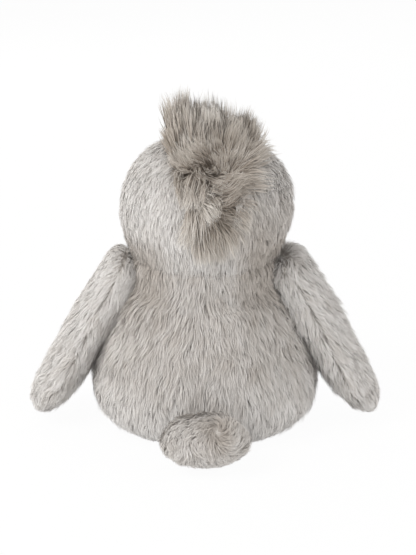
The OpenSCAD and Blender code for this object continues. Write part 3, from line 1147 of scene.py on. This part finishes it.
# %% Head hair
head_skin = skin_finder(head)
head_roots, head_normals = spread_roots(head, 2.4, 12)
free = head_roots[:, 2] > neck_height(head_roots) - 3 * MM
head_roots, head_normals = head_roots[free], head_normals[free]
for node, inside, style, finish, slot_name, seed in (
        ("head_side_left", in_head_side(1), side_style, grey_pile, "grey_fur", 31),
        ("head_side_right", in_head_side(-1), side_style, grey_pile, "grey_fur", 32),
        ("face_panel", in_face, face_style, cream_pile, "cream_fur", 33),
        ("crest_gusset", in_crest, crest_style, crest_pile, "taupe_fur", 34)):
    panel = fur_panel("fur_" + node, head, head_skin, inside, head_roots, head_normals, style,
                      finish, seed)
    finish_piece(panel, "head", slot_name, [node])
bpy.data.objects.remove(head)

# %% [markdown]
# ## Wings
# Each wing is a flat bag of fur fabric that hangs from a seam at the shoulder. Its form starts as
# a copy of the solid stuffing, because that already has the right shape. The copy is merged,
# rebuilt with even faces by the Remesh modifier, bent a little at its tip, and then swollen.


# %% Copies of the stuffing
def merged_copy(node):
    """A bmesh copy of a CAD node, with its loose triangles joined."""
    bm = bmesh.new()
    bm.from_mesh(frame["nodes"][node].data)
    bmesh.ops.remove_doubles(bm, verts=bm.verts, dist=0.005 * MM)
    return bm


def smooth_out(bm, times):
    """Evens out the bumps of a mesh, more of them with each time."""
    for _ in range(times):
        bmesh.ops.smooth_vert(bm, verts=bm.verts, factor=0.5, use_axis_x=True, use_axis_y=True,
                              use_axis_z=True)


def stuffing_copy(node, voxel, out=0.0):
    """A closed, evenly meshed copy of a CAD node, moved out along its normals."""
    form = form_object(node + "_form", merged_copy(node))
    remesh = form.modifiers.new("remesh", "REMESH")
    remesh.mode = "VOXEL"
    remesh.voxel_size = voxel
    dressed = form.evaluated_get(bpy.context.evaluated_depsgraph_get())
    even = bmesh.new()
    even.from_mesh(dressed.data)
    bpy.data.objects.remove(form)
    smooth_out(even, 3)
    even.normal_update()
    for vert in even.verts:
        vert.co += vert.normal * out
    return form_object(node + "_form", even)


# %% Wing sizes
WING_SPLAY = math.radians(27)
WING_RIM_SEAM = 2.2 * MM
TIP_BEND = 5 * MM
TIP_BEND_FROM = 70 * MM
TIP_BEND_OVER = 48 * MM
TIP_SLIM = 0.1
ROOT_WRAP = 9 * MM
ROOT_WRAP_END = 42 * MM
LIFT_PLACES = np.array([0, 30, 60, 100]) * MM
WING_LIFTS = {"left": [0.22, 0.33, 0.38, 0.38], "right": [0.5, 0.6, 0.55, 0.38]}
hinge_of = {joint["name"]: Vector(joint["pos_m"]) for joint in frame["joints"] if "pos_m" in joint}
print("joints with a place:", sorted(hinge_of))

# %% Wing forms and hair
for side, hand in ((1, "left"), (-1, "right")):
    hinge = np.array(hinge_of["wing_" + hand + "_lift"])
    outward = np.array([side * math.cos(WING_SPLAY), 0, math.sin(WING_SPLAY)])
    to_tip = np.array([side * math.sin(WING_SPLAY), 0, -math.cos(WING_SPLAY)])

    def off_plane(points):
        """Distance from the wing's middle plane, more than 0 on its outer side."""
        return (points - hinge) @ outward

    def down_wing(points):
        """Distance from the hinge towards the tip."""
        return (points - hinge) @ to_tip

    def wing_seams(points):
        """The seam runs round the wing's rim, and the root is sewn to the shoulder."""
        return np.where(down_wing(points) > 0, hump(off_plane(points), WING_RIM_SEAM), 1)

    def comb_wing(points, normals):
        """To the tip, and away from the rim seam."""
        away = np.sign(off_plane(points)) * 0.25 * np.exp(-np.abs(off_plane(points)) / (4 * MM))
        return to_tip + outward * away[:, None]

    def wing_length(points):
        """Longest along the middle of the wing."""
        return np.interp(down_wing(points), np.array([-12, 40, 90, 125]) * MM,
                         np.array([11, 14, 13, 11]) * MM)

    def wing_lift(points):
        """Flat at the root of the left wing, ruffled on the right one."""
        return np.interp(down_wing(points), LIFT_PLACES, WING_LIFTS[hand])

    wing = stuffing_copy(f"wing_{hand}_stuffing", 2 * MM, 1.2 * MM)
    points = mesh_points(wing.data)
    bend = ((down_wing(points) - TIP_BEND_FROM) / TIP_BEND_OVER).clip(0, 1) ** 2
    wrap = ease(points[:, 1], 6 * MM, 5 * MM) * ease(-down_wing(points), -ROOT_WRAP_END, 10 * MM)
    wrap *= ease(-off_plane(points), 2 * MM, 1.5 * MM)
    shift = (TIP_BEND - TIP_SLIM * off_plane(points)) * bend - ROOT_WRAP * wrap
    set_points(wing.data, points + outward * shift[:, None])
    wing = blow_up(wing, wing_seams, pressure=100, limit=1.2 * MM)
    wing_skin = skin_finder(wing)
    wing_roots, wing_normals = spread_roots(wing, 2.2, 13)
    wing_style = {"comb": comb_wing, "length": wing_length, "lift": wing_lift, "tone": same(0.85)}
    for part, inside, seed in (("outer", lambda p: off_plane(p) > 0, 41),
                               ("inner", lambda p: off_plane(p) <= 0, 43)):
        node = f"wing_{hand}_{part}"
        panel = fur_panel("fur_" + node, wing, wing_skin, inside, wing_roots, wing_normals, wing_style,
                          grey_pile, seed + (side < 0))
        finish_piece(panel, "wing_" + hand, "grey_fur", [node])
    bpy.data.objects.remove(wing)

# %% [markdown]
# ## Tail
# The tail is a short round cushion that lies on the ground. Its solid stuffing is narrow where it
# leaves the body, so the copy is widened there and lifted a little off the floor, then smoothed
# before it swells. Its hair turns round a whorl of its own, left of the middle.

# %% Tail form
tail_low, tail_high = (Vector(c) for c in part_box("tail_stuffing"))
tail_middle = np.array([0, tail_high.y - 20.5 * MM, (tail_low.z + tail_high.z) / 2])
TAIL_WHORL = tail_middle + np.array([-8, 10, 12]) * MM


def level_seam(height, width):
    """The pins of a form with a seam round it at one height."""
    return lambda points: hump(points[:, 2] - height, width)


tail = stuffing_copy("tail_stuffing", 2 * MM)
points = mesh_points(tail.data)
waist = hump(points[:, 1] - tail_low.y - 15 * MM, 11 * MM)
points += mesh_normals(tail.data) * np.array([1, 0, 1]) * (6 * MM * waist)[:, None]
points[:, 0] *= 0.9
points[:, 2] += 3.5 * MM * ease(tail_middle[2] - points[:, 2], 4 * MM, 3 * MM)
set_points(tail.data, points)
bm = bmesh.new()
bm.from_mesh(tail.data)
smooth_out(bm, 12)
bm.to_mesh(tail.data)
bm.free()
tail = blow_up(tail, level_seam(tail_middle[2], 2.5 * MM), pressure=4000, limit=1 * MM)


# %% Tail hair
def tail_root(points, reach, width):
    """From 1 beside the body to 0 past a reach along the tail."""
    return ease(-points[:, 1], -tail_low.y - reach, width)


def comb_tail(points, normals):
    """Away from the body at the root, then round a whorl on top and out from it."""
    off = unit(points - TAIL_WHORL)
    way = 0.6 * off + np.cross(normals, off)
    root = tail_root(points, 20 * MM, 3 * MM)[:, None]
    return way * (1 - root) + np.array([0, 1, -0.3]) * root


def tail_length(points):
    """Shorter under the tail, where it rests near the floor."""
    return by_height(points, [4, 14, 26], [5, 9, 12])


def tail_tone_painted_shade(points):
    """Painted shadow beside the body and painted shade in the middle of the whorl, pale round the rim.
    """
    # painted shade in the middle of the whorl
    middle = np.exp(-(((points - TAIL_WHORL) / (9 * MM)) ** 2).sum(1))
    # the tail_root term paints the shadow beside the body
    return 0.62 - 0.4 * tail_root(points, 22 * MM, 4 * MM) - 0.6 * middle


tail_style = {"comb": comb_tail, "length": tail_length, "lift": same(0.4), "sag": 0, "swirl": 0.5,
              "scatter": 0.16, "tone": tail_tone_painted_shade}
tail_skin = skin_finder(tail)
tail_roots, tail_normals = spread_roots(tail, 2.4, 14)
for node, inside, seed in (("tail_top", over(tail_middle[2]), 51),
                           ("tail_under", under(tail_middle[2]), 52)):
    panel = fur_panel("fur_" + node, tail, tail_skin, inside, tail_roots, tail_normals, tail_style,
                      grey_pile, seed)
    finish_piece(panel, "tail", "grey_fur", [node])
bpy.data.objects.remove(tail)

# %% [markdown]
# ## Feet and beak
# These are sewn from suedette, a fabric with almost no pile, so their shape shows. Each is a
# stuffed form that is cut along its seam into two panels. The seam pulls in, and on the feet two
# rows of stitches press the toes apart.


# %% Suedette panels
def press_in(points, ways, off, depth, width, share=1):
    """Points pressed in along a sewn line, by their distance off the line."""
    return points - ways * (depth * hump(off, width) * share)[:, None]


def suede_panel(name, form, inside, thickness):
    """One panel of a smooth stuffed form, as fabric with a thickness."""
    bm = cut_fabric(form, inside, thickness)
    for face in bm.faces:
        face.smooth = True
    panel = form_object(name, bm)
    panel.data.materials.append(suedette)
    print(name, "has", len(panel.data.polygons), "faces")
    return panel


# %% Feet
FOOT_SPLAY = math.radians(18)
TOE_LINES = (-7 * MM, 7 * MM)
TOE_LINE_REACH = 36 * MM
for side, hand in ((1, "left"), (-1, "right")):
    ankle = np.array(hinge_of["foot_" + hand + "_flex"])
    forward = np.array([side * math.sin(FOOT_SPLAY), -math.cos(FOOT_SPLAY), 0])
    sideways = np.array([math.cos(FOOT_SPLAY), side * math.sin(FOOT_SPLAY), 0])
    rim_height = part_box(f"foot_{hand}_top")[0].z + 0.2 * MM
    foot = stuffing_copy(f"foot_{hand}_stuffing", 1.2 * MM, 2.6 * MM)
    foot = blow_up(foot, level_seam(rim_height, 1.2 * MM), pressure=2000, limit=0.8 * MM)
    points, ways = mesh_points(foot.data), mesh_normals(foot.data)
    ahead = (points - ankle) @ forward
    across = (points - ankle) @ sideways
    for toe_line in TOE_LINES:
        off_line = across - toe_line * ahead / TOE_LINE_REACH
        toes = ease(ahead, 26 * MM, 2.5 * MM) * (points[:, 2] > rim_height)
        points = press_in(points, ways, off_line, 2.6 * MM, 2 * MM, toes)
    points = press_in(points, ways, points[:, 2] - rim_height, 0.9 * MM, 1 * MM)
    points[:, 2] = np.maximum(points[:, 2], FLOOR_GAP)
    set_points(foot.data, points)
    for part, inside in (("top", over(rim_height)), ("sole", under(rim_height))):
        node = f"foot_{hand}_{part}"
        panel = suede_panel("suede_" + node, foot, inside, 0.9 * MM)
        finish_piece(panel, "foot_" + hand, "tan_suedette", [node])
    bpy.data.objects.remove(foot)

# %% Beak
beak_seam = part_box("beak_upper")[0].z
beak = stuffing_copy("beak_stuffing", 0.8 * MM, 1.6 * MM)
beak = blow_up(beak, level_seam(beak_seam, 1 * MM), pressure=4000, limit=0.6 * MM)
points, ways = mesh_points(beak.data), mesh_normals(beak.data)
set_points(beak.data, press_in(points, ways, points[:, 2] - beak_seam, 0.8 * MM, 0.9 * MM))
for node, inside in (("beak_upper", over(beak_seam)), ("beak_lower", under(beak_seam))):
    panel = suede_panel("suede_" + node, beak, inside, 0.8 * MM)
    finish_piece(panel, "head", "tan_suedette", [node])
bpy.data.objects.remove(beak)

# %% [markdown]
# ## What is inside
# Under the fabric the toy holds loose polyester fibre, and in its seat a cotton bag of plastic
# pellets keeps it upright. Fibre settles in soft lumps, so each filling is an even copy of its
# solid, a little smaller, with lumps moved out and in. The pellets are separate beads.

# %% Fibre fillings
for node, body_name, voxel in (
        ("body_stuffing", "body", 3.5), ("neck_stuffing", "neck", 3), ("head_stuffing", "head", 3.5),
        ("wing_left_stuffing", "wing_left", 3), ("wing_right_stuffing", "wing_right", 3),
        ("tail_stuffing", "tail", 2.5), ("foot_left_stuffing", "foot_left", 1.5),
        ("foot_right_stuffing", "foot_right", 1.5), ("beak_stuffing", "head", 1)):
    filling = stuffing_copy(node, voxel * MM, -1.2 * MM if voxel > 1 else -0.4 * MM)
    points, ways = mesh_points(filling.data), mesh_normals(filling.data)
    lumps = 0.3 * voxel * MM * (ripple(points, 6 * voxel * MM, 61) - 0.4).clip(-1, 0.6)
    set_points(filling.data, points + ways * lumps[:, None])
    filling.name = "fibre_" + node
    filling.data.shade_smooth()
    filling.data.materials.append(fibre)
    finish_piece(filling, body_name, "fibre_filling", [node])
    print(filling.name, "has", len(filling.data.polygons), "faces")

# %% Pellets
PELLET_RADIUS = 2.2 * MM
PELLET_SPACING = 5 * MM
LAYER_HEIGHT = 0.82 * PELLET_SPACING
BEAD_FACES = 20


def pellet_places(solid, seed):
    """Jittered places of a close packing that lie well inside a CAD solid, with their turns."""
    rng = np.random.default_rng(seed)
    low, high = (Vector(c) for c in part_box(solid.name))
    for layer in range(int((high.z - low.z) / LAYER_HEIGHT)):
        z = low.z + (layer + 0.6) * LAYER_HEIGHT
        shift = PELLET_SPACING / 2 * (layer % 2)
        for x in np.arange(low.x + shift, high.x, PELLET_SPACING):
            for y in np.arange(low.y + shift, high.y, PELLET_SPACING):
                place = Vector((x, y, z)) + Vector(rng.uniform(-0.2, 0.2, 3) * PELLET_SPACING)
                hit, near, normal, _ = solid.closest_point_on_mesh(place)
                if hit and (place - near).dot(normal) < -PELLET_RADIUS:
                    yield place, rng.uniform(0, math.pi, 3)


bm = bmesh.new()
for place, turns in pellet_places(frame["nodes"]["pellet_fill"], 62):
    turned = Matrix.Rotation(turns[0], 4, "X") @ Matrix.Rotation(turns[1], 4, "Y")
    bmesh.ops.create_icosphere(bm, subdivisions=1, radius=PELLET_RADIUS,
                               matrix=Matrix.Translation(place) @ turned)
for face in bm.faces:
    face.smooth = True
pellets = form_object("pellets", bm)
pellets.data.materials.append(pellet_plastic)
finish_piece(pellets, "body", "plastic_pellets", ["pellet_fill"])
print("pellets:", len(pellets.data.polygons) // BEAD_FACES)

# %% Pellet bag
LONGEST_EDGE = 5 * MM
for node in ("pellet_bag_top", "pellet_bag_bottom"):
    bm = merged_copy(node)
    for _ in range(3):
        long_edges = [e for e in bm.edges if e.calc_length() > LONGEST_EDGE]
        if long_edges:
            bmesh.ops.subdivide_edges(bm, edges=long_edges, cuts=1)
            bmesh.ops.triangulate(bm, faces=bm.faces)
    creased = form_object("cotton_" + node, bm)
    points = mesh_points(creased.data)
    points[:, 2] += 0.35 * MM * ripple(points, 13 * MM, 63)
    set_points(creased.data, points)
    creased.data.shade_smooth()
    creased.data.materials.append(cotton)
    finish_piece(creased, "body", "bag_cotton", [node])
    print(creased.name, "has", len(creased.data.polygons), "faces")

# %% [markdown]
# ## Eyes, washers and neck thread
# These are hard or round pieces that the solid model already shows as they are. They keep their
# solid shape and only get their finish.

# %% Pieces that keep their solid shape
for node, finish, slot_name in (
        ("eye_left", eye_black, "eye_black"), ("eye_right", eye_black, "eye_black"),
        ("eye_washer_left", washer_plastic, "washer_plastic"),
        ("eye_washer_right", washer_plastic, "washer_plastic"),
        ("neck_thread", thread, "sewing_thread")):
    solid = frame["nodes"][node]
    solid.data.materials.clear()
    solid.data.materials.append(finish)
    print(node, "keeps its solid shape")
